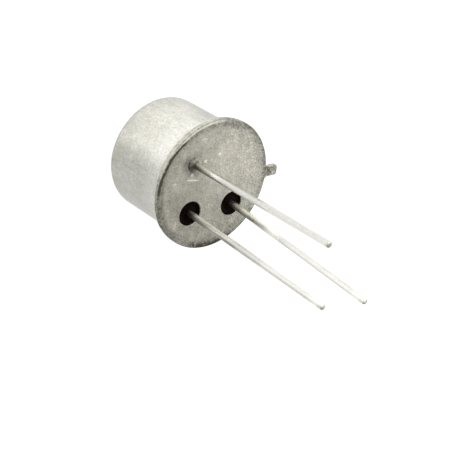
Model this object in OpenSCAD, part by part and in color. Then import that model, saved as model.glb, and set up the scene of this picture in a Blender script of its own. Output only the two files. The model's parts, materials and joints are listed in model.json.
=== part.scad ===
// Transistor in a drawn metal can: the crown stands on the floor and the three leads point up.
// The origin is the middle of the crown's outer face, and +Z runs along the leads.

/* [Can] */
// Outside diameter of the can's wall
can_d = 8.3; // [7.8:0.05:8.5]
// Height from the crown to the header's outer face
body_h = 6.5; // [6.1:0.05:6.6]
// Thickness of the drawn sheet
can_wall = 0.25; // [0.2:0.01:0.3]
// Outside radius round the crown's edge
crown_r = 0.55; // [0.4:0.05:0.8]
// Outside radius where the wall flares into the weld flange
flare_r = 0.2; // [0.14:0.02:0.26]
// Radius on both edges of the weld flange's rim
rim_r = 0.1; // [0.05:0.01:0.1]

/* [Header] */
// Reach of the header's flange beyond the can's wall
flange_reach = 0.55; // [0.5:0.01:0.6]
// Thickness of the header's flange
flange_t = 0.3; // [0.25:0.05:0.45]
// Rolled radius on the flange's outer edge
flange_edge_r = 0.06; // [0.04:0.02:0.22]
// Thickness of the header from its outer face to the inner platform
header_t = 1.3; // [1.1:0.05:1.6]
// Gap between the platform and the can's bore
platform_gap = 0.12; // [0.08:0.01:0.2]
// Radius round the platform's edge
platform_edge_r = 0.15; // [0.1:0.01:0.2]
// Step from the header's rim in to the can's rim
seam_step = 0.03; // [0.01:0.01:0.06]

/* [Tab] */
// Width of the locating tab
tab_w = 0.76; // [0.7:0.02:0.86]
// Length of the tab beyond the flange
tab_l = 1.04; // [0.73:0.01:1.14]
// Radius of the fillets at the tab's root
tab_root_r = 0.22; // [0.1:0.02:0.3]
// Radius of the tab's two corners
tab_corner_r = 0.2; // [0.05:0.01:0.25]

/* [Glass seals] */
// Diameter of the two sealed holes
seal_d = 1.75; // [1.5:0.05:1.9]
// Depth of the hollow in the glass
meniscus_depth = 0.12; // [0.06:0.01:0.16]
// How far the glass stays below the header's faces
seal_setback = 0.03; // [0.02:0.01:0.06]
// Width of the level rim that is left round the hollow
seal_rim = 0.04; // [0.03:0.01:0.06]

/* [Leads] */
// Diameter of the lead wire
lead_d = 0.46; // [0.4:0.01:0.53]
// Diameter of the circle that the leads stand on
lead_circle_d = 5.08; // [4.8:0.02:5.3]
// Length of the emitter lead from the header's face
emitter_lead_l = 13.5; // [12.7:0.1:14.5]
// Length of the base lead from the header's face
base_lead_l = 13.4; // [12.7:0.1:14.5]
// Length of the collector lead from the header's face
collector_lead_l = 13.2; // [12.7:0.1:14.5]
// Angle that the emitter lead is bent off the axis
emitter_lean_angle = 4.8; // [0.6:0.1:6]
// Angle that the base lead is bent off the axis
base_lean_angle = 2.1; // [0.6:0.1:6]
// Angle that the collector lead is bent off the axis
collector_lean_angle = 0.9; // [0.6:0.1:6]
// Height of the bend above the header's face
bend_start = 0.3; // [0.28:0.02:0.6]
// Radius of the bend along the wire's centre
bend_r = 2; // [1:0.1:4]
// Radius on the edge of each cut tip
tip_r = 0.14; // [0.05:0.01:0.18]
// Height of the two inner posts below the platform
post_h = 0.6; // [0.4:0.05:0.8]
// Diameter of the posts' nail heads
post_head_d = 0.86; // [0.7:0.02:1]
// Thickness of the posts' nail heads
post_head_t = 0.14; // [0.1:0.01:0.2]

/* [Collector joint] */
// Diameter of the blind well in the header
well_d = 1.12; // [1.06:0.02:1.3]
// Depth of the well
well_depth = 0.3; // [0.2:0.02:0.5]
// Radius of the braze's fillet
braze_fillet_r = 0.24; // [0.14:0.02:0.26]
// Thickness of the braze's collar at the top of the fillet
braze_collar_t = 0.04; // [0.02:0.01:0.05]

/* [Chip] */
// Side of the square chip
die_w = 1; // [0.6:0.05:1.4]
// Thickness of the chip
die_t = 0.22; // [0.15:0.01:0.3]
// Thickness of the preform under the chip
attach_t = 0.04; // [0.03:0.01:0.06]
// Width of the preform that shows round the chip
attach_rim = 0.12; // [0.05:0.01:0.2]

/* [Bond wires] */
// Diameter of the bond wire
bond_d = 0.05; // [0.04:0.005:0.08]
// Height of the loop above its chord
loop_h = 0.45; // [0.3:0.05:0.6]
// Diameter of the flattened foot at each end
foot_d = 0.16; // [0.14:0.01:0.2]
// Thickness of each foot
foot_t = 0.1; // [0.09:0.01:0.14]

/* [Hidden] */
$fn = 96;

// How far a cut runs past the face that it opens
overrun = 0.2;
// How far the fillets at the tab's root bite into the flange's rim
root_bite = 0.002;

// Angles round the axis, seen from the lead side: the tab stands halfway between X and Y
tab_angle = 45;
emitter_angle = 0;
base_angle = -90;
collector_angle = 180;
// Directions that the bent leads lean in
emitter_heading_angle = -45;
base_heading_angle = -59;
collector_heading_angle = -165;
// Share of the wire's thickness that is left in a bend
bend_share = 0.98;
// How far a bend runs on inside the straight wire at its ends
bend_lap = 0.05;
// Places of the bond feet on the chip, from its middle, as a share of its side
emitter_pad_share = 0.28;
base_pad_share = 0.28;

can_r = can_d / 2;
bore_r = can_r - can_wall;
header_r = can_r + flange_reach;
can_rim_r = header_r - seam_step;
weld_z = body_h - flange_t;
flare_z = weld_z - can_wall - flare_r;
platform_z = body_h - header_t;
platform_r = bore_r - platform_gap;

seal_r = seal_d / 2;
lead_r = lead_d / 2;
well_r = well_d / 2;
well_z = body_h - well_depth;
post_z = platform_z - post_h;
bend_z = body_h + bend_start;
die_z = platform_z - attach_t - die_t;

// Rounded hollow that the glass draws down to between the hole's wall and the wire
meniscus_half_w = (seal_r - lead_r) / 2 - seal_rim;
meniscus_r = (meniscus_half_w * meniscus_half_w + meniscus_depth * meniscus_depth) / (2 * meniscus_depth);
meniscus_mid_r = (seal_r + lead_r) / 2;

function on_circle(r, angle) = [r * cos(angle), r * sin(angle), 0];

emitter_place = on_circle(lead_circle_d / 2, emitter_angle);
base_place = on_circle(lead_circle_d / 2, base_angle);
collector_place = on_circle(lead_circle_d / 2, collector_angle);

// What is cut off a square corner at zero, whose sides run along -X and -Y, to round it
module corner_cutter(corner_r) {
    translate([-corner_r, -corner_r])
        difference() {
            square([corner_r + overrun, corner_r + overrun]);
            circle(corner_r);
        }
}

// Half section of a disc from the axis out to r, with its outer corners rounded at either end
module disc_section(r, z, h, near_r = 0, far_r = 0) {
    difference() {
        translate([0, z])
            square([r, h]);
        if (near_r > 0)
            translate([r, z])
                mirror([0, 1])
                    corner_cutter(near_r);
        if (far_r > 0)
            translate([r, z + h])
                corner_cutter(far_r);
    }
}

// Half section of the can's outside: cup, flare and weld flange
module can_outside() {
    disc_section(can_r, 0, weld_z, near_r = crown_r);
    disc_section(can_rim_r, weld_z - can_wall, can_wall, near_r = rim_r, far_r = rim_r);
    difference() {
        disc_section(can_r + flare_r, flare_z, flare_r + can_wall / 2);
        translate([can_r + flare_r, flare_z])
            circle(flare_r);
    }
}

// Half section of the can's inside, with the mouth turned outwards at the sheet's own thickness
module can_inside() {
    disc_section(bore_r, can_wall, weld_z, near_r = crown_r - can_wall);
    difference() {
        disc_section(can_r + flare_r, flare_z, weld_z - flare_z + overrun);
        translate([can_r + flare_r, flare_z])
            circle(can_wall + flare_r);
    }
}

module can() {
    color("gainsboro")
        rotate_extrude()
            difference() {
                can_outside();
                can_inside();
            }
}

// Outline of the locating tab, pointing along X, with a fillet on each side of its root
module tab_outline() {
    half_w = tab_w / 2;
    tip_x = header_r + tab_l;
    fillet_reach = header_r + tab_root_r - root_bite;
    fillet_y = half_w + tab_root_r;
    fillet_x = sqrt(fillet_reach * fillet_reach - fillet_y * fillet_y);
    seat_share = (header_r - flange_edge_r) / fillet_reach;
    difference() {
        translate([platform_r, -half_w])
            square([tip_x - platform_r, tab_w]);
        translate([tip_x, half_w])
            corner_cutter(tab_corner_r);
        translate([tip_x, -half_w])
            mirror([0, 1])
                corner_cutter(tab_corner_r);
    }
    for (side = [-1, 1])
        difference() {
            polygon([
                [platform_r, 0],
                [fillet_x, 0],
                [fillet_x, side * fillet_y],
                [fillet_x * seat_share, side * fillet_y * seat_share]
            ]);
            translate([fillet_x, side * fillet_y])
                circle(tab_root_r);
        }
}

module header_blank() {
    rotate_extrude() {
        disc_section(header_r, weld_z, flange_t, far_r = flange_edge_r);
        disc_section(platform_r, platform_z, header_t - flange_t / 2, near_r = platform_edge_r);
    }
    rotate([0, 0, tab_angle])
        translate([0, 0, weld_z])
            linear_extrude(flange_t)
                tab_outline();
}

module header() {
    color("darkgray")
        difference() {
            header_blank();
            for (place = [emitter_place, base_place])
                translate(place + [0, 0, platform_z - overrun])
                    cylinder(r = seal_r, h = header_t + 2 * overrun);
            translate(collector_place + [0, 0, well_z])
                cylinder(r = well_r, h = well_depth + overrun);
        }
}

// Ring that hollows one end of a glass bead
module meniscus_cutter() {
    rotate_extrude()
        translate([meniscus_mid_r, meniscus_r - meniscus_depth])
            circle(meniscus_r);
}

// Glass bead round a wire, hollowed at both ends
module glass_seal(place) {
    low_z = platform_z + seal_setback;
    high_z = body_h - seal_setback;
    color([0.05, 0.05, 0.06])
        translate(place)
            difference() {
                translate([0, 0, low_z])
                    cylinder(r = seal_r, h = high_z - low_z);
                translate([0, 0, low_z - overrun])
                    cylinder(r = lead_r, h = high_z - low_z + 2 * overrun);
                translate([0, 0, high_z])
                    meniscus_cutter();
                translate([0, 0, low_z])
                    mirror([0, 0, 1])
                        meniscus_cutter();
            }
}

module emitter_seal() {
    glass_seal(emitter_place);
}

module base_seal() {
    glass_seal(base_place);
}

// Lead wire from its inner end up to the bend, round a short arc and out to its cut tip
module lead_wire(start_z, lean_angle, heading_angle, length) {
    arc_l = bend_r * lean_angle * PI / 180;
    lap_angle = bend_lap / bend_r * 180 / PI;
    translate([0, 0, start_z])
        cylinder(r = lead_r, h = bend_z - start_z);
    translate([0, 0, bend_z])
        rotate([0, 0, heading_angle]) {
            translate([bend_r, 0, 0])
                rotate([90, 0, 180])
                    rotate([0, 0, -lap_angle])
                        rotate_extrude(angle = lean_angle + 2 * lap_angle)
                            translate([bend_r, 0])
                                circle(lead_r * bend_share);
            translate([bend_r - bend_r * cos(lean_angle), 0, bend_r * sin(lean_angle)])
                rotate([0, lean_angle, 0])
                    rotate_extrude()
                        disc_section(lead_r, 0, length - bend_start - arc_l, far_r = tip_r);
        }
}

// Lead that passes through a glass bead and ends inside in a nail head
module sealed_lead(place, lean_angle, heading_angle, length) {
    color("whitesmoke")
        translate(place) {
            lead_wire(post_z, lean_angle, heading_angle, length);
            translate([0, 0, post_z])
                cylinder(d = post_head_d, h = post_head_t);
        }
}

module emitter_lead() {
    sealed_lead(emitter_place, emitter_lean_angle, emitter_heading_angle, emitter_lead_l);
}

module base_lead() {
    sealed_lead(base_place, base_lean_angle, base_heading_angle, base_lead_l);
}

module collector_lead() {
    color("whitesmoke")
        translate(collector_place)
            lead_wire(well_z, collector_lean_angle, collector_heading_angle, collector_lead_l);
}

// Braze that fills the well round the wire and climbs it in a fillet
module collector_braze() {
    fillet_x = lead_r + braze_collar_t + braze_fillet_r;
    top_z = body_h + braze_fillet_r;
    color("silver")
        translate(collector_place)
            rotate_extrude()
                difference() {
                    union() {
                        disc_section(well_r, well_z, well_depth);
                        disc_section(fillet_x, well_z, well_depth + braze_fillet_r);
                    }
                    translate([fillet_x, top_z])
                        circle(braze_fillet_r);
                    disc_section(lead_r, well_z - overrun, well_depth + braze_fillet_r + 2 * overrun);
                }
}

module die() {
    color("slategray")
        translate([-die_w / 2, -die_w / 2, die_z])
            cube([die_w, die_w, die_t]);
}

module die_attach() {
    attach_w = die_w + 2 * attach_rim;
    color("goldenrod")
        translate([-attach_w / 2, -attach_w / 2, platform_z - attach_t])
            cube([attach_w, attach_w, attach_t]);
}

// Looped wire between two faces that look towards the crown, with a flattened foot on each
module bond_wire(from, to) {
    run = to - from;
    flat_run = norm([run.x, run.y]);
    chord = norm(run);
    loop_r = (chord * chord / 4 + loop_h * loop_h) / (2 * loop_h);
    half_angle = asin(chord / (2 * loop_r));
    color("gold") {
        for (foot = [from, to])
            translate(foot - [0, 0, foot_t])
                cylinder(d = foot_d, h = foot_t);
        translate(from - [0, 0, foot_t / 2])
            rotate([0, -atan2(run.z, flat_run), atan2(run.y, run.x)])
                translate([chord / 2, 0, loop_r - loop_h])
                    rotate([-90, 0, 180])
                        rotate([0, 0, 90 - half_angle])
                            rotate_extrude(angle = 2 * half_angle)
                                translate([loop_r, 0])
                                    circle(d = bond_d);
    }
}

module emitter_bond_wire() {
    pad_place = on_circle(die_w * emitter_pad_share, emitter_angle);
    bond_wire(pad_place + [0, 0, die_z], emitter_place + [0, 0, post_z]);
}

module base_bond_wire() {
    pad_place = on_circle(die_w * base_pad_share, base_angle);
    bond_wire(pad_place + [0, 0, die_z], base_place + [0, 0, post_z]);
}

can();
header();
emitter_seal();
base_seal();
emitter_lead();
base_lead();
collector_lead();
collector_braze();
die();
die_attach();
emitter_bond_wire();
base_bond_wire();
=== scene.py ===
import json
import math

import bmesh
import bpy
from mathutils import Matrix, Vector, noise


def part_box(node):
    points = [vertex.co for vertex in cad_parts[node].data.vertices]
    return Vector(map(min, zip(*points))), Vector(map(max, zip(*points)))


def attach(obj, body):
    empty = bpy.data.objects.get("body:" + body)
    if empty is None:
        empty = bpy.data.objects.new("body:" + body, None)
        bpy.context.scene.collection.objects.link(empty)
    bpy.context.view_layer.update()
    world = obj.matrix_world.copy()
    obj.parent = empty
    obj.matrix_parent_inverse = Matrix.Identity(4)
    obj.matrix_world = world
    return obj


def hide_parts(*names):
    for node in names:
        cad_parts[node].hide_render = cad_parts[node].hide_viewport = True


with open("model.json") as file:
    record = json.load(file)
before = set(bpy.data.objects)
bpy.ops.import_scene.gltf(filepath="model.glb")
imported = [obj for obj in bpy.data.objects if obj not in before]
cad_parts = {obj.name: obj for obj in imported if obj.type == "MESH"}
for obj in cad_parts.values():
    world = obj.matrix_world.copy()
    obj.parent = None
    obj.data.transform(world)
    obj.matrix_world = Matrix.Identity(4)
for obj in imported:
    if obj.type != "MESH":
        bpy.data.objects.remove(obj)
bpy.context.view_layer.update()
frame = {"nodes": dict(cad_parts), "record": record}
print("frame loaded,", len(frame["nodes"]), "nodes")

mm = 0.001  # shapes are drawn in millimetres and end up in metres
up = Vector((0, 0, 1))
mounts = {mount["name"]: mount for mount in frame["record"]["mounts"]}


def nodeBox(node):
    low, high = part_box(node)
    return low / mm, high / mm


def nodeMiddle(node):
    low, high = nodeBox(node)
    return (low + high) / 2


def nodeRadius(node):
    low, high = nodeBox(node)
    return (high.x - low.x) / 2


# what the pieces share, read from the frame
canRadius = mounts["can_wall"]["dims"]["r_mm"]
wireRadius = mounts["emitter_lead"]["dims"]["r_mm"]
headerRadius = nodeBox("header")[1].x
faceZ = nodeBox("header")[1].z      # the header's outer face
platformZ = nodeBox("header")[0].z  # its inner face
weldZ = nodeBox("can")[1].z         # where can and header meet


# shaping

meshing = {
    "merge": 0.0008,        # points closer than this become one
    "shortest": 0.0002,     # edges shorter than this go
    "sharp": 40,            # degrees from which an edge stays sharp
    "faceWeight": 100,      # how much large faces rule the shading
}


def loopAt(bm, middle, radius, height, steps):
    verts = bmesh.ops.create_circle(bm, segments=steps, radius=radius)["verts"]
    bmesh.ops.translate(bm, verts=verts, vec=(middle.x, middle.y, height))
    return list({edge for vert in verts for edge in vert.link_edges})


def onlyEdges(geometry):
    return [item for item in geometry if isinstance(item, bmesh.types.BMEdge)]


def carryLoop(bm, edges, steps):
    # extrudes a loop through (growth about its own middle, move) steps
    for growth, move in steps:
        made = bmesh.ops.extrude_edge_only(bm, edges=edges)["geom"]
        verts = [item for item in made if isinstance(item, bmesh.types.BMVert)]
        fresh = set(verts)
        edges = [edge for edge in onlyEdges(made) if fresh.issuperset(edge.verts)]
        middle = sum((vert.co for vert in verts), Vector()) / len(verts)
        bmesh.ops.scale(bm, verts=verts, vec=(growth,) * 3, space=Matrix.Translation(-middle))
        bmesh.ops.translate(bm, verts=verts, vec=move)
    return edges


def roundCorners(bm, verts, radius, steps):
    bmesh.ops.bevel(bm, geom=verts, offset=radius, affect="VERTICES", segments=steps,
                    profile=0.5, material=-1)


def revolve(bm, corners, steps, roundSteps, closed=False):
    # corners are (radius, height, rounding) along the section
    verts = [bm.verts.new((radius, 0, height)) for radius, height, rounding in corners]
    pairs = list(zip(verts, verts[1:]))
    if closed:
        pairs.append((verts[-1], verts[0]))
    for pair in pairs:
        bm.edges.new(pair)
    for vert, (radius, height, rounding) in zip(verts, corners):
        if rounding:
            roundCorners(bm, [vert], rounding, roundSteps)
    section = list(bm.verts) + list(bm.edges)
    bmesh.ops.spin(bm, geom=section, cent=(0, 0, 0), axis=up, angle=math.tau, steps=steps, use_merge=True)


def finishPiece(name, bm, node, material, middle=Vector()):
    bmesh.ops.translate(bm, verts=bm.verts, vec=(middle.x, middle.y, 0))
    bmesh.ops.remove_doubles(bm, verts=bm.verts, dist=meshing["merge"])
    bmesh.ops.dissolve_degenerate(bm, edges=bm.edges, dist=meshing["shortest"])
    bmesh.ops.recalc_face_normals(bm, faces=bm.faces)
    bmesh.ops.scale(bm, verts=bm.verts, vec=(mm,) * 3)
    mesh = bpy.data.meshes.new(name)
    bm.to_mesh(mesh)
    bm.free()
    mesh.materials.append(material)
    mesh.shade_smooth()
    mesh.set_sharp_from_angle(angle=math.radians(meshing["sharp"]))
    piece = bpy.data.objects.new(name, mesh)
    bpy.context.scene.collection.objects.link(piece)
    weighted = piece.modifiers.new("flat faces stay flat", "WEIGHTED_NORMAL")
    weighted.weight = meshing["faceWeight"]
    weighted.keep_sharp = True
    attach(piece, "root")
    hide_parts(node)
    print("made", name, len(mesh.polygons), "faces")


# shader sums

class Flow:
    # one output socket, so that sums of sockets read as sums
    def __init__(self, tree, socket=None):
        self.tree = tree
        self.socket = socket

    def node(self, kind, settings=None, sockets=None, output=0):
        made = self.tree.nodes.new(kind)
        for name, value in (settings or {}).items():
            setattr(made, name, value)
        for name, value in (sockets or {}).items():
            if isinstance(value, Flow):
                self.tree.links.new(value.socket, made.inputs[name])
            else:
                made.inputs[name].default_value = value
        return Flow(self.tree, made.outputs[output])

    def maths(self, operation, first, second=0.0):
        return self.node("ShaderNodeMath", {"operation": operation}, {0: first, 1: second})

    def __add__(self, other):
        return self.maths("ADD", self, other)

    def __radd__(self, other):
        return self.maths("ADD", other, self)

    def __sub__(self, other):
        return self.maths("SUBTRACT", self, other)

    def __rsub__(self, other):
        return self.maths("SUBTRACT", other, self)

    def __mul__(self, other):
        return self.maths("MULTIPLY", self, other)

    def __rmul__(self, other):
        return self.maths("MULTIPLY", other, self)

    def __truediv__(self, other):
        return self.maths("DIVIDE", self, other)

    def size(self):
        return self.maths("ABSOLUTE", self)

    def between(self, low, high):
        # 0 at low, 1 at high, with a soft run between
        return self.node("ShaderNodeMapRange", {"interpolation_type": "SMOOTHSTEP"},
                         {"Value": self, "From Min": low, "From Max": high})

    def band(self, start, full, last, end):
        # 1 from full to last, with a soft run on either side
        return self.between(start, full) * self.between(end, last)

    def vectorMaths(self, operation, other):
        return self.node("ShaderNodeVectorMath", {"operation": operation}, {0: self, 1: other},
                         output="Value")

    def along(self, direction):
        # how far a point lies in one direction
        return self.vectorMaths("DOT_PRODUCT", direction)

    def away(self, spot):
        return self.vectorMaths("DISTANCE", spot)

    def stretched(self, scale):
        return self.node("ShaderNodeMapping", sockets={"Vector": self, "Scale": scale})

    def fromAxis(self, middle=Vector()):
        # distance from an upright line
        return self.stretched((1, 1, 0)).away((middle.x, middle.y, 0))

    def cloud(self, scale, detail=2.0, roughness=0.5):
        return self.node("ShaderNodeTexNoise", sockets={"Vector": self, "Scale": scale, "Detail": detail,
                                                        "Roughness": roughness})

    def ripple(self, scale, detail=2.0, roughness=0.5):
        # the same noise, evenly about zero
        return self.cloud(scale, detail, roughness) - 0.5

    def cells(self, scale):
        return self.node("ShaderNodeTexVoronoi", sockets={"Vector": self, "Scale": scale}, output="Distance")

    def blend(self, first, second):
        # self is the mask: first colour at 0, second at 1
        return self.node("ShaderNodeMix", {"data_type": "RGBA"}, {0: self, 6: first, 7: second}, output=2)

    def bump(self, height):
        # self is the relief, height is its size in millimetres
        return self.node("ShaderNodeBump", sockets={"Height": self, "Distance": height * mm})


def weighed(weights, patterns):
    # the plain value, and each pattern times its weight
    total = weights.get("plain", 0.0)
    for name, pattern in patterns.items():
        if name in weights:
            total = total + weights[name] * pattern
    return total


def heading(angle):
    turn = math.radians(angle)
    return Vector((math.cos(turn), math.sin(turn), 0))


coreShare = 1 / 3  # share of a mark's half size that has its full strength


def toward(place, radius, angle):
    # 1 where a point lies the way that the angle names, -1 on the far side
    return place.along(heading(angle)) / radius


def facing(place, radius, angle, halfWidth):
    # 1 on the side that the angle names, 0 beyond the half width
    if halfWidth >= 180:
        return 1.0
    edge, full = (math.cos(math.radians(width)) for width in (halfWidth, halfWidth * coreShare))
    return toward(place, radius, angle).between(edge, full)


# finishes

def startMaterial(name):
    material = bpy.data.materials.new(name)
    material.use_nodes = True
    start = Flow(material.node_tree)
    place = start.node("ShaderNodeTexCoord", output="Object").stretched((1 / mm,) * 3)  # in millimetres
    return material, place


def setShader(material, fixed, varied):
    shader = material.node_tree.nodes["Principled BSDF"]
    for name, value in fixed.items():
        shader.inputs[name].default_value = value
    for name, flow in varied.items():
        material.node_tree.links.new(flow.socket, shader.inputs[name])
    print("finish", material.name)
    return material


def grey(level, warmth):
    # the part's metals lean a little to yellow
    greenLoss = 0.02
    blueLoss = 0.13
    return (level, level * (1 - greenLoss * warmth), level * (1 - blueLoss * warmth), 1)


def setMetal(material, finish, tone, patterns):
    # bare metal: colour by tone, roughness and relief by the finish's weights
    colour = tone.blend(grey(*finish["dark"]), grey(*finish["light"]))
    rough = weighed(finish["rough"], patterns)
    relief = weighed(finish["relief"], patterns).bump(finish["reliefHeight"])
    return setShader(material, {"Metallic": 1.0},
                     {"Base Color": colour, "Roughness": rough, "Normal": relief})


# can: drawn cap with a rounded crown, a flare and a weld flange

can = {
    "wall": 0.25,
    "crownRadius": 0.55,
    "flareRadius": 0.2,
    "rimRadius": 0.1,
    "steps": 144,
    "roundSteps": 8,
    "dark": (0.2, 2.0),             # plating: level, warmth
    "light": (0.6, 0.5),
    "grain": (7.5, 3.0, 0.7),       # noise: scale, detail, roughness
    "mottle": (2.4, 4.0, 0.6),
    "blotch": (0.5, 3.0),
    "drawn": (1.0, 3.0),
    "drawnStretch": (4, 4, 0.3),    # makes it lines up the wall
    "tone": {"plain": 0.49, "grain": 1.1, "mottle": 0.5, "drawn": 0.25, "blotch": 0.3},
    "rough": {"plain": 0.36, "blotch": 0.15, "grain": 0.2},
    "relief": {"grain": 1.0, "mottle": 0.4, "drawn": 0.3},
    "reliefHeight": 0.012,
    "flareBand": (0.75, 0.3, 0.3, 0.2),  # painted highlight on the flare, below the weld: start, full, last, end
    "flareLight": 0.12,
    "wear": (                       # painted light and shade on sides of the wall: angle, half width, heights where it starts and is full, strength
        (210, 80, 3.4, 5.2, 0.15),
        (245, 45, -2, -1, 0.07),    # all the way up
        (105, 45, 3, 1, -0.1),
    ),
}


def canPlating():
    material, place = startMaterial("canPlating")
    radius = place.fromAxis()
    height = place.along(up)
    patterns = {
        "grain": place.ripple(*can["grain"]),
        "mottle": place.ripple(*can["mottle"]),
        "drawn": place.stretched(can["drawnStretch"]).ripple(*can["drawn"]),
        "blotch": place.ripple(*can["blotch"]),
    }
    tone = weighed(can["tone"], patterns)
    # painted highlight: the flare just below the weld is lightened
    tone = tone + can["flareLight"] * height.band(*(weldZ - drop for drop in can["flareBand"]))
    # painted light and shade: the wall is lightened on two sides and darkened on one
    for angle, halfWidth, start, full, strength in can["wear"]:
        tone = tone + strength * height.between(start, full) * facing(place, radius, angle, halfWidth)
    return setMetal(material, can, tone, patterns)


def makeCan():
    rim = nodeBox("can")[1].x
    wall = can["wall"]
    bore = canRadius - wall
    bm = bmesh.new()
    revolve(bm, [
        (0, 0, 0),
        (canRadius, 0, can["crownRadius"]),
        (canRadius, weldZ - wall, can["flareRadius"]),
        (rim, weldZ - wall, can["rimRadius"]),
        (rim, weldZ, can["rimRadius"]),
        (bore, weldZ, can["flareRadius"] + wall),
        (bore, wall, can["crownRadius"] - wall),
        (0, wall, 0),
    ], can["steps"], can["roundSteps"])
    finishPiece("canShell", bm, "can", canPlating())


makeCan()


# header: stamped disc with a tab, two sealed holes and a well

header = {
    "edgeRadius": 0.06,
    "edgeRing": 0.015,              # level ring inside the rounded edge
    "edgeSteps": 5,
    "tabAngle": 45,
    "tabWidth": 0.76,
    "tabLength": 1.04,
    "tabRoot": 0.2,                 # rounding at the tab's root
    "tabCorner": 0.2,
    "tabSteps": 6,
    "platformGap": 0.12,
    "platformRadius": 0.15,
    "burr": 0.05,                   # chamfer round the sealed holes
    "steps": 144,
    "holeSteps": 64,
    "dark": (0.1, 2.2),             # plating: level, warmth
    "light": (0.815, 1.0),
    "grain": (8.0, 3.0, 0.75),      # noise: scale, detail, roughness
    "mottle": (2.2, 4.0, 0.65),
    "blotch": (0.6, 3.0),
    "sandScale": 3.4,               # grains that shine on the tab's side
    "sandSize": (0.3, 0.1),
    "tabSide": (-2, 3),             # towards the tab: where that side starts, where it is full
    "slope": (-4, 4),               # the same for the painted light: a slow change of tone across the face, lighter towards the tab
    "tabFade": (-0.1, 0.15),        # past the rim: where the tab's own finish starts, where it is full
    "coarseRadii": (2.2, 3.6),      # scuffed outer part of the face
    "smoothSide": (190, 80),        # angle and half width of the side that isn't scuffed
    "grainGain": {"plain": 0.9, "tabSide": 0.4, "coarse": 0.2},
    "mottleGain": {"plain": 1.0, "coarse": 0.45},
    "haloSize": (1.1, 0.5),         # dull ring round the braze
    "wornRadii": (4.45, 4.56, 4.62, 4.69),  # painted highlight on the rounded edge: start, full, last, end
    "wornSide": (155, 40),
    "sideDrop": (-0.03, -0.09),     # from the face, where the rim's side starts and is full
    # painted light: the side of the rim taken as lit
    "litSide": (180, 80),
    "tone": {"plain": 0.5, "grain": 1.1, "mottle": 0.45, "blotch": 0.3, "sand": 0.17, "slope": 0.07,
             "worn": 0.5, "halo": -0.14},
    # painted shade on the rim's side wall, and painted light on its lit side
    "sideTone": {"plain": -0.2, "lit": 0.4},
    "tabTone": {"plain": -0.22, "mottle": 0.8},
    "rough": {"plain": 0.74, "blotch": 0.2, "grain": 0.2},
    "relief": {"grain": 1.0, "mottle": 0.7, "sand": 0.3},
    "reliefHeight": 0.014,
    "rubbedRadii": (4.5, 4.1),      # rubbed patches end short of the rim
    "rubbed": (                     # place, distances where it ends and is full, strength
        ((-0.3, 1.9), 3.1, 1.0, 0.11),
        ((-3.1, 1.4), 1.1, 0.2, 0.1),
        ((2.9, 2.3), 1.5, 0.4, 0.09),
        ((0.9, -1.0), 1.7, 0.4, 0.05),
        ((-2.1, -1.5), 1.3, 0.3, 0.04),
        ((-2.95, -0.3), 0.85, 0.25, -0.14),  # smear beside the braze
    ),
    "stains": (                     # angle, half width, radii where it starts and is full, strength
        (0, 360, 4.0, 4.6, 0.09),
        (72, 46, 4.25, 4.6, 0.17),
        (145, 50, 3.9, 4.3, 0.1),
        (317, 29, 4.0, 4.6, 0.42),
        (352, 24, 3.6, 4.2, 0.08),
        (240, 45, 4.1, 4.45, 0.16),
    ),
    "stainWave": 0.25,              # how far the stains' edges wander
    "stainNoise": (1.2, 3.0),
    "speckle": (4.2, 2.0),
    "speckleLevels": (0.2, 0.62),
    "stainTone": {"plain": 0.4, "speckle": 1.0},
    "scratches": (                  # middle, angle, length, width, strength
        ((-1.79, -0.83), 34, 1.3, 0.09, 0.6),
        ((-1.95, -0.72), 37, 0.9, 0.06, 0.12),
        ((-2.86, -1.92), 35, 0.5, 0.08, 0.25),
        ((-3.66, -0.87), 44, 1.2, 0.05, 0.15),
        ((-3.26, 1.7), 45, 0.7, 0.12, 0.25),
        ((-1.71, 3.23), 45, 0.5, 0.14, 0.2),
        ((-1.2, 1.93), 37, 1.8, 0.05, 0.12),
        ((0.76, 1.65), 139, 1.0, 0.06, 0.15),
        ((1.2, 2.9), 65, 1.3, 0.05, 0.15),
        ((0.3, -1.1), 150, 0.9, 0.05, 0.15),
        ((-0.35, -3.9), 133, 1.2, 0.07, 0.2),
    ),
    "dropSize": (0.17, 0.06),
    "drops": (                      # spatter of the braze: place, strength
        ((-1.97, 0.69), 0.4),
        ((-2.13, -0.62), 0.4),
        ((-1.34, 1.75), 0.35),
        ((-1.63, 1.1), 0.15),
    ),
    "seam": {                       # dark line of the weld, at the edge of the face
        "angle": 198,
        "halfWidth": 31,
        "radius": 4.56,
        "width": 0.13,
        "drift": 0.22,              # it leaves the rim on one side
        "wave": 0.15,
        "waveNoise": (0.9, 2.0),
        "ragged": 0.16,
        "raggedNoise": (5.0, 2.0),
        "drop": (-0.08, -0.02),     # from the face, where it starts and is full
        "tone": {"plain": 0.55, "speckle": 0.45},
    },
}


def faceMarks(place):
    # light scratches and drops on the header's face
    marks = 0.0
    for middle, angle, length, width, strength in header["scratches"]:
        spot = Vector((*middle, faceZ))
        run = place.along(heading(angle)) - spot.dot(heading(angle))
        side = place.along(heading(angle + 90)) - spot.dot(heading(angle + 90))
        lengthwise = run.size().between(length / 2, length / 2 * coreShare)
        marks = marks + strength * lengthwise * side.size().between(width, 0)
    for middle, strength in header["drops"]:
        marks = marks + strength * place.away((*middle, faceZ)).between(*header["dropSize"])
    return marks


def rubbedPatches(place, radius):
    patches = 0.0
    for middle, end, full, strength in header["rubbed"]:
        patches = patches + strength * place.away((*middle, faceZ)).between(end, full)
    return patches * radius.between(*header["rubbedRadii"])


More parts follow.
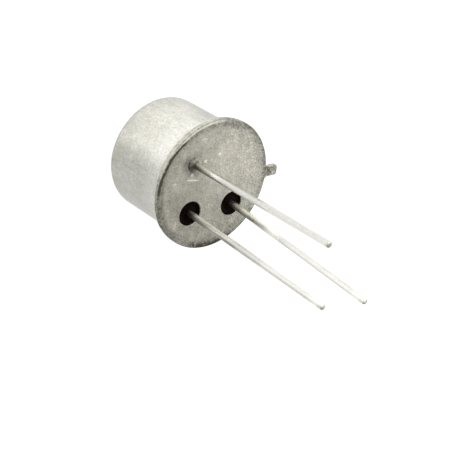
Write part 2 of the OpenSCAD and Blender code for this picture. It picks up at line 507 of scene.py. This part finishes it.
def edgeStains(place, radius, height):
    # heat from the weld left the edge of the face dull and speckled
    specks = {"speckle": place.cloud(*header["speckle"]).between(*header["speckleLevels"])}
    wandering = radius + header["stainWave"] * place.ripple(*header["stainNoise"])
    stains = 0.0
    for angle, halfWidth, start, full, strength in header["stains"]:
        stains = stains + strength * facing(place, radius, angle, halfWidth) * wandering.between(start, full)

    seam = header["seam"]
    out = radius - seam["drift"] * toward(place, radius, seam["angle"] + 90) - seam["radius"]
    out = out + seam["wave"] * place.ripple(*seam["waveNoise"])
    out = out + seam["ragged"] * place.ripple(*seam["raggedNoise"])
    line = facing(place, radius, seam["angle"], seam["halfWidth"]) * height.between(*seam["drop"])
    line = line * out.size().between(seam["width"], seam["width"] * coreShare)
    return stains * weighed(header["stainTone"], specks) + line * weighed(seam["tone"], specks)


def headerPlating():
    material, place = startMaterial("headerPlating")
    radius = place.fromAxis()
    height = place.along(up) - faceZ
    tabward = place.along(heading(header["tabAngle"]))
    tab = (tabward - headerRadius).between(*header["tabFade"])
    zones = {
        "tabSide": tabward.between(*header["tabSide"]),
        "coarse": radius.between(*header["coarseRadii"]) * (1 - facing(place, radius, *header["smoothSide"])),
        "lit": facing(place, radius, *header["litSide"]),
    }
    brazeSpot = (*nodeMiddle("collector_braze").xy, faceZ)
    patterns = {
        "grain": place.ripple(*header["grain"]) * weighed(header["grainGain"], zones),
        "mottle": place.ripple(*header["mottle"]) * weighed(header["mottleGain"], zones),
        "blotch": place.ripple(*header["blotch"]),
        "sand": place.cells(header["sandScale"]).between(*header["sandSize"]) * zones["tabSide"],
        # painted light: the face grows lighter towards the tab
        "slope": tabward.between(*header["slope"]),
        # painted highlight along the rounded edge, on one side
        "worn": radius.band(*header["wornRadii"]) * facing(place, radius, *header["wornSide"]),
        "halo": place.away(brazeSpot).between(*header["haloSize"]),
    }
    tone = weighed(header["tone"], patterns) + faceMarks(place) + rubbedPatches(place, radius)
    # painted shade on the rim's side wall, lighter on its lit side
    side = height.between(*header["sideDrop"]) * weighed(header["sideTone"], zones)
    tone = tone + (1 - tab) * (side - edgeStains(place, radius, height))
    tone = tone + tab * weighed(header["tabTone"], patterns)
    return setMetal(material, header, tone, patterns)


def headerOutline(bm):
    # the flange's rim, opened at the tab and led round it
    turn = Matrix.Rotation(math.radians(header["tabAngle"]), 4, "Z")
    half = header["tabWidth"] / 2
    tip = headerRadius + header["tabLength"]
    ring = bmesh.ops.create_circle(bm, segments=header["steps"], radius=headerRadius)["verts"]
    bmesh.ops.rotate(bm, verts=ring, matrix=Matrix.Rotation(math.pi / 2, 3, "Z"))
    gap = half + header["tabRoot"]
    opened = [vert for vert in ring if vert.co.x > 0 and abs(vert.co.y) < gap]
    bmesh.ops.delete(bm, geom=opened, context="VERTS")
    ends = sorted((vert for vert in bm.verts if len(vert.link_edges) == 1), key=lambda vert: vert.co.y)
    root = math.sqrt(headerRadius ** 2 - half ** 2)
    spots = ((root, -half, 0), (tip, -half, 0), (tip, half, 0), (root, half, 0))
    tab = [bm.verts.new(spot) for spot in spots]
    path = [ends[0], *tab, ends[1]]
    for pair in zip(path, path[1:]):
        bm.edges.new(pair)
    bmesh.ops.contextual_create(bm, geom=bm.edges)
    roundCorners(bm, tab[1:3], header["tabCorner"], header["tabSteps"])
    roundCorners(bm, tab[0::3], header["tabRoot"], header["tabSteps"])
    bmesh.ops.transform(bm, verts=bm.verts, matrix=turn)


def roundOver(bm, faces, radius, ring, steps):
    # insets a face up over a rounded edge, with a narrow level ring at the end
    turns = [math.pi / 2 * step / steps for step in range(steps + 1)]
    for before, after in zip(turns, turns[1:]):
        bmesh.ops.inset_region(bm, faces=faces, thickness=radius * (math.cos(before) - math.cos(after)),
                               depth=radius * (math.sin(after) - math.sin(before)), use_even_offset=True,
                               use_boundary=True)
    bmesh.ops.inset_region(bm, faces=faces, thickness=ring, use_even_offset=True, use_boundary=True)


def makeHeader():
    bm = bmesh.new()
    edge = header["edgeRadius"]
    burr = header["burr"]
    headerOutline(bm)
    bmesh.ops.translate(bm, verts=bm.verts, vec=(0, 0, faceZ - edge))
    rim = list(bm.edges)
    under = carryLoop(bm, rim, [(1, (0, 0, weldZ - faceZ + edge))])
    face = max(bm.faces, key=lambda item: len(item.verts))
    bmesh.ops.recalc_face_normals(bm, faces=bm.faces)
    if face.normal.z < 0:
        bmesh.ops.reverse_faces(bm, faces=[face])
    roundOver(bm, [face], edge, header["edgeRing"], header["edgeSteps"])
    topLoops = list(face.edges)
    bmesh.ops.delete(bm, geom=[face], context="FACES_ONLY")

    # sealed holes, with a chamfer at both ends
    lowLoops = []
    chamfer = Vector((0, 0, -burr))
    bore = Vector((0, 0, platformZ - faceZ)) - 2 * chamfer
    for node in ("emitter_seal", "base_seal"):
        radius = nodeRadius(node)
        wide = (radius + burr) / radius
        mouth = loopAt(bm, nodeMiddle(node), radius + burr, faceZ, header["holeSteps"])
        topLoops += mouth
        lowLoops += carryLoop(bm, mouth, [(1 / wide, chamfer), (1, bore), (wide, chamfer)])

    # the collector's well
    node = "collector_braze"
    well = loopAt(bm, nodeMiddle(node), nodeRadius(node), faceZ, header["holeSteps"])
    topLoops += well
    floor = carryLoop(bm, well, [(1, (0, 0, nodeBox(node)[0].z - faceZ))])
    bmesh.ops.contextual_create(bm, geom=floor)

    # the platform that sits in the can's bore
    platformRadius = canRadius - can["wall"] - header["platformGap"]
    rounding = header["platformRadius"]
    shoulder = loopAt(bm, Vector(), platformRadius, weldZ, header["steps"])
    wall = [(1, (0, 0, platformZ + rounding - weldZ))]
    wall.append(((platformRadius - rounding) / platformRadius, (0, 0, -rounding)))
    lowLoops += carryLoop(bm, shoulder, wall)
    for loops in (topLoops, under + shoulder, lowLoops):
        bmesh.ops.triangle_fill(bm, edges=loops, use_beauty=True)
    finishPiece("headerDisc", bm, "header", headerPlating())


makeHeader()


# glass seals: black beads, drawn down between the hole and the wire

seal = {
    "dip": 0.293,                   # where the hollow's two slopes would meet
    "rim": 0.04,
    "steps": 64,
    "roundSteps": 10,
    "black": (0.003, 0.001, 0.0005, 1),
    "dust": (0.03, 0.025, 0.02, 1),
    "cloud": (2.0, 3.0),            # noise: scale, detail
    "pitScale": 6.0,
    "pitSize": (0.2, 0.06),
    "pitDepth": 0.01,
    "rough": {"plain": 0.3, "cloud": 0.2},
    "shine": 0.02,
}


def blackGlass():
    material, place = startMaterial("blackGlass")
    pits = place.cells(seal["pitScale"]).between(*seal["pitSize"])
    cloud = place.cloud(*seal["cloud"])
    return setShader(material, {"Specular IOR Level": seal["shine"]}, {
        "Base Color": (pits * cloud).blend(seal["black"], seal["dust"]),
        "Roughness": weighed(seal["rough"], {"cloud": cloud}),
        "Normal": (0 - pits).bump(seal["pitDepth"]),
    })


def makeSeal(name, node, material):
    low, high = nodeBox(node)
    radius = nodeRadius(node)
    inner = wireRadius + seal["rim"]
    outer = radius - seal["rim"]
    half = (outer - inner) / 2
    reach = math.hypot(half, seal["dip"])
    bm = bmesh.new()
    revolve(bm, [
        (wireRadius, low.z, 0),
        (inner, low.z, 0),
        (inner + half, low.z + seal["dip"], reach),
        (outer, low.z, 0),
        (radius, low.z, 0),
        (radius, high.z, 0),
        (outer, high.z, 0),
        (inner + half, high.z - seal["dip"], reach),
        (inner, high.z, 0),
        (wireRadius, high.z, 0),
    ], seal["steps"], seal["roundSteps"], closed=True)
    finishPiece(name, bm, node, material, nodeMiddle(node))


glass = blackGlass()
makeSeal("emitterBead", "emitter_seal", glass)
makeSeal("baseBead", "base_seal", glass)


# leads: tinned wire, bent a little above the header, with rounded tips

lead = {
    "bendStart": 0.3,               # above the header's face
    "bendRadius": 2.0,
    "tipRadius": 0.14,
    "headRadius": 0.43,
    "headThickness": 0.14,
    "headEdge": 0.03,               # roundings of the nail head
    "headNeck": 0.02,
    "headSteps": 3,
    "steps": 40,
    "bendSteps": 6,
    "tipSteps": 6,
    "dark": (0.2, 0.9),             # tin: level, warmth
    "light": (0.9, 0.6),
    "grain": (5.0, 3.0, 0.65),      # noise: scale, detail, roughness
    "drawn": (1.0, 3.0),
    "drawnStretch": (14, 14, 0.5),  # makes it lines along the wire
    "rootHeights": (0.8, 0),        # darker and rougher at the root, above the header's face; the darkening is painted shade
    "tipHeights": (12.9, 13.1),     # frosted by the cutter
    "tone": {"drawn": 0.3, "grain": 0.33, "root": -0.25},
    # painted light and shade: each wire of the same tin has its own base tone, set to how it is lit
    "plainTone": {"emitter_lead": 0.7, "base_lead": 0.6, "collector_lead": 0.47},
    "rough": {"plain": 0.3, "grain": 0.2, "root": 0.1, "tip": 0.3},
    "relief": {"drawn": 1.0, "grain": 1.0},
    "reliefHeight": 0.006,
    "streakFade": 0.5,              # half the run at a streak's ends
    "streaks": {    # painted shade and highlights along the wires: angle, start and full in wire radii, low and high above the face, strength
        "emitter_lead": (
            (281, 0.2, 0.65, -2, 16, -0.35),
            (191, -2, -1, -2, 1.3, -0.4),
            (281, -0.4, 0.4, -2, 1.0, -0.25),
            (101, 0.1, 0.6, 1.2, 3.6, 0.25),
            (101, 0.1, 0.6, 4.5, 16, -0.2),
            (191, -2, -1, 3.9, 5.2, 0.25),
            (191, -2, -1, 12.4, 16, 0.15),
        ),
        "base_lead": (
            (281, -0.1, 0.5, -2, 16, -0.29),
            (281, 0, 0.5, 1.5, 5, -0.2),
            (281, -0.6, 0.2, -2, 0.9, -0.45),
            (101, 0.1, 0.6, 0.8, 4.8, 0.4),
            (191, -2, -1, 3.2, 7.6, -0.1),
            (191, -2, -1, 12.4, 16, 0.15),
        ),
        "collector_lead": (
            (101, 0.3, 0.75, 2.6, 7, -0.25),
            (281, 0.5, 0.8, 5, 7.5, -0.18),
            (191, 0.7, 0.9, 1.2, 2.6, 0.33),
            (281, 0, 0.6, -1, 2.2, -0.3),
            (281, -0.4, 0.3, -2, 0.8, -0.3),
            (101, -0.2, 0.5, -1, 1.6, 0.2),
        ),
    },
}


def sideOf(place, node, angle):
    # how far a point lies to one side of a wire's middle line, in wire radii
    axis = Vector(mounts[node]["axis"]).normalized()
    side = heading(angle)
    side = (side - axis * side.dot(axis)).normalized()
    middle = Vector(mounts[node]["pos_m"]) / mm
    return (place.along(side) - middle.dot(side)) / wireRadius


def tinnedWire(name, node):
    material, place = startMaterial(name)
    height = place.along(up) - faceZ
    patterns = {
        "drawn": place.stretched(lead["drawnStretch"]).ripple(*lead["drawn"]),
        "grain": place.ripple(*lead["grain"]),
        # painted shade: the wire is darker near its root, and rougher there
        "root": height.between(*lead["rootHeights"]),
        "tip": height.between(*lead["tipHeights"]),
    }
    # painted light and shade through each wire's own base tone
    tone = lead["plainTone"][node] + weighed(lead["tone"], patterns)
    fade = lead["streakFade"]
    # painted shade and highlights in streaks along the wire
    for angle, start, full, low, high, strength in lead["streaks"][node]:
        length = height.band(low - fade, low + fade, high - fade, high + fade)
        tone = tone + strength * sideOf(place, node, angle).between(start, full) * length
    return setMetal(material, lead, tone, patterns)


def makeLead(name, node, middle, headed):
    mount = mounts[node]
    axis = Vector(mount["axis"]).normalized()
    lean = axis.angle(up)
    leanSide = Vector((axis.x, axis.y, 0)).normalized()
    startZ = nodeBox(node)[0].z
    bendZ = faceZ + lead["bendStart"]
    section = [(0, startZ, 0), (wireRadius, startZ, 0), (wireRadius, bendZ, 0)]
    if headed:
        neckZ = startZ + lead["headThickness"]
        section[1:2] = [
            (lead["headRadius"], startZ, lead["headEdge"]),
            (lead["headRadius"], neckZ, lead["headEdge"]),
            (wireRadius, neckZ, lead["headNeck"]),
        ]
    bm = bmesh.new()
    revolve(bm, section, lead["steps"], lead["headSteps"])
    bmesh.ops.remove_doubles(bm, verts=bm.verts, dist=meshing["merge"])
    mouth = [edge for edge in bm.edges if edge.is_boundary]
    bendMiddle = leanSide * lead["bendRadius"] + up * bendZ
    bent = bmesh.ops.spin(bm, geom=mouth, cent=bendMiddle, axis=up.cross(leanSide), angle=lean,
                          steps=lead["bendSteps"])["geom_last"]

    # straight run, then the tip's rounding
    tipRadius = lead["tipRadius"]
    path = [(1, axis * mount["dims"]["length_mm"])]
    radius = wireRadius
    turns = [math.pi / 2 * step / lead["tipSteps"] for step in range(lead["tipSteps"] + 1)]
    for before, after in zip(turns, turns[1:]):
        shrunk = wireRadius - tipRadius * (1 - math.cos(after))
        path.append((shrunk / radius, axis * tipRadius * (math.sin(after) - math.sin(before))))
        radius = shrunk
    last = carryLoop(bm, onlyEdges(bent), path)
    bmesh.ops.contextual_create(bm, geom=last)
    finishPiece(name, bm, node, tinnedWire(name + "Tin", node), middle)


makeLead("emitterWire", "emitter_lead", nodeMiddle("emitter_seal"), True)
makeLead("baseWire", "base_lead", nodeMiddle("base_seal"), True)
makeLead("collectorWire", "collector_lead", nodeMiddle("collector_braze"), False)


# braze: fills the well round the collector's wire and climbs it

braze = {
    "collar": 0.04,
    "steps": 64,
    "roundSteps": 8,
    "unevenness": 0.035,
    "lumpScale": 3,
    "dark": (0.06, 2.5),            # metal: level, warmth
    "light": (0.6, 1.2),
    "patch": (2.2, 4.0, 0.6),       # noise: scale, detail, roughness
    "grain": (7.0, 3.0),
    # painted shade at the braze's outer edge, where it drops to the face
    "edgeRadii": (0.36, 0.5),
    "sootAngle": 215,               # painted shade: darker on this side
    "tone": {"plain": 0.45, "edge": -0.05, "soot": -0.75, "patch": 1.2, "grain": 0.6},
    "rough": {"plain": 0.72, "grain": 0.2},
    "relief": {"patch": 1.0, "grain": 0.5},
    "reliefHeight": 0.04,
}


def brazeMetal():
    material, place = startMaterial("brazeMetal")
    middle = nodeMiddle("collector_braze")
    paintedShadeSide = heading(braze["sootAngle"])
    patterns = {
        # painted shade: the braze is darker towards its outer edge
        "edge": place.fromAxis(middle).between(*braze["edgeRadii"]),
        # painted shade on one side of the braze
        "soot": place.along(paintedShadeSide) - middle.dot(paintedShadeSide),
        "patch": place.ripple(*braze["patch"]),
        "grain": place.ripple(*braze["grain"]),
    }
    return setMetal(material, braze, weighed(braze["tone"], patterns), patterns)


def makeBraze():
    node = "collector_braze"
    low, high = nodeBox(node)
    radius = nodeRadius(node)
    neck = wireRadius + braze["collar"]
    climb = high.z - faceZ
    bm = bmesh.new()
    revolve(bm, [
        (wireRadius, low.z, 0),
        (radius, low.z, 0),
        (radius, faceZ, 0),
        (neck, faceZ, climb),
        (neck, high.z, 0),
        (wireRadius, high.z, 0),
    ], braze["steps"], braze["roundSteps"], closed=True)
    for vert in bm.verts:
        share = max(vert.co.z - faceZ, 0) / climb
        vert.co.z -= share * braze["unevenness"] * (0.5 + noise.noise(vert.co * braze["lumpScale"]))
    finishPiece("brazeFillet", bm, node, brazeMetal(), nodeMiddle(node))


makeBraze()


# chip, preform and bond wires keep their solids and get their finishes

inside = {
    "chipSilicon": {
        "nodes": ("die",),
        "dark": (0.1, 0.11, 0.14, 1),
        "light": (0.2, 0.21, 0.25, 1),
        "cloud": (6.0, 3.0),
        "metallic": 0.3,
        "rough": {"plain": 0.15, "cloud": 0.15},
        "reliefHeight": 0,          # polished
    },
    "reflowedFilm": {
        "nodes": ("die_attach",),
        "dark": (0.55, 0.4, 0.16, 1),
        "light": (0.83, 0.65, 0.3, 1),
        "cloud": (7.0, 3.0),
        "metallic": 1.0,
        "rough": {"plain": 0.2, "cloud": 0.2},
        "reliefHeight": 0.02,
    },
    "bondWireMetal": {
        "nodes": ("emitter_bond_wire", "base_bond_wire"),
        "dark": (0.8, 0.6, 0.24, 1),
        "light": (0.95, 0.75, 0.36, 1),
        "cloud": (7.0, 3.0),
        "metallic": 1.0,
        "rough": {"plain": 0.2, "cloud": 0.2},
        "reliefHeight": 0.002,
    },
}
cloudLevels = (0.3, 0.7)


def innerFinish(name, finish):
    material, place = startMaterial(name)
    cloud = place.cloud(*finish["cloud"])
    varied = {
        "Base Color": cloud.between(*cloudLevels).blend(finish["dark"], finish["light"]),
        "Roughness": weighed(finish["rough"], {"cloud": cloud}),
    }
    if finish["reliefHeight"]:
        varied["Normal"] = cloud.bump(finish["reliefHeight"])
    return setShader(material, {"Metallic": finish["metallic"]}, varied)


for name, finish in inside.items():
    material = innerFinish(name, finish)
    for node in finish["nodes"]:
        frame["nodes"][node].data.materials.clear()
        frame["nodes"][node].data.materials.append(material)


# floor, light and camera

studio = {
    "floorSize": 2000,
    "floorColour": (0.08, 0.08, 0.08, 1),
    "floorRoughness": 0.9,
    "floorGlow": 1.0,               # light table, everywhere
    "sideGlow": 1.2,                # more of it beside the part, on its bright side
    "sideBand": (2.5, 7.5, 10, 14),     # out from the middle: start, full, last, end
    "brightSide": (105, -0.55, 0.1),    # angle, and the cosines where it starts and is full
    "brightest": (160, 0.3, 0.9),
    "dimShare": 0.1,                # what the rest of the bright side keeps
    "farGlow": 0.45,                # and evenly further out
    "farBand": (14, 20),
    "world": 0.42,
    "softboxes": {                  # place, aim, width, height, watts
        "faceLight": ((40, 26, 38), (0, 0, 6), 36, 36, 0.006),
        "upperLight": ((-38, 46, 60), (0, 0, 8), 100, 36, 0.075),
        "rimLight": ((-30, -6, 60), (0, 0, 6), 30, 30, 0.004),
    },
}


def paleFloor():
    material, place = startMaterial("paleFloor")
    out = place.fromAxis()
    angle, start, full = studio["brightSide"]
    bright = toward(place, out, angle).between(start, full)
    angle, start, full = studio["brightest"]
    brightest = toward(place, out, angle).between(start, full)
    bright = bright * (studio["dimShare"] + (1 - studio["dimShare"]) * brightest)
    glow = studio["floorGlow"] + studio["sideGlow"] * bright * out.band(*studio["sideBand"])
    glow = glow + studio["farGlow"] * out.between(*studio["farBand"])
    colour = glow.node("ShaderNodeCombineColor", sockets={0: glow, 1: glow, 2: glow})
    fixed = {
        "Base Color": studio["floorColour"],
        "Roughness": studio["floorRoughness"],
        "Emission Strength": 1.0,
    }
    return setShader(material, fixed, {"Emission Color": colour})


def makeFloor():
    bm = bmesh.new()
    bmesh.ops.create_grid(bm, x_segments=1, y_segments=1, size=studio["floorSize"] / 2 * mm)
    mesh = bpy.data.meshes.new("floor")
    bm.to_mesh(mesh)
    bm.free()
    mesh.materials.append(paleFloor())
    floor = bpy.data.objects.new("floor", mesh)
    bpy.context.scene.collection.objects.link(floor)


def softbox(name, place, aim, width, height, power):
    light = bpy.data.lights.new(name, "AREA")
    light.shape = "RECTANGLE"
    light.size = width * mm
    light.size_y = height * mm
    light.energy = power
    lamp = bpy.data.objects.new(name, light)
    lamp.location = Vector(place) * mm
    lamp.rotation_euler = (Vector(aim) - Vector(place)).to_track_quat("-Z", "Y").to_euler()
    bpy.context.scene.collection.objects.link(lamp)


makeFloor()
for name, settings in studio["softboxes"].items():
    softbox(name, *settings)

world = bpy.data.worlds.new("studio")
bpy.context.scene.world = world
world.use_nodes = True
world.node_tree.nodes["Background"].inputs["Color"].default_value = (studio["world"],) * 3 + (1,)

view = {
    "place": (-60.169, -11.706, 64.546),
    "turn": (-30.806, -39.147, 52.525),
    "lens": 98.25,
    "sensor": 36,
    "nearest": 1,
    "furthest": 10000,
}

eye = bpy.data.cameras.new("camera")
eye.lens = view["lens"]
eye.sensor_width = view["sensor"]
eye.clip_start = view["nearest"] * mm
eye.clip_end = view["furthest"] * mm
camera = bpy.data.objects.new("camera", eye)
camera.location = Vector(view["place"]) * mm
camera.rotation_euler = [math.radians(angle) for angle in view["turn"]]
bpy.context.scene.collection.objects.link(camera)
bpy.context.scene.camera = camera
bpy.context.scene.view_settings.view_transform = "Standard"
print("stage set")
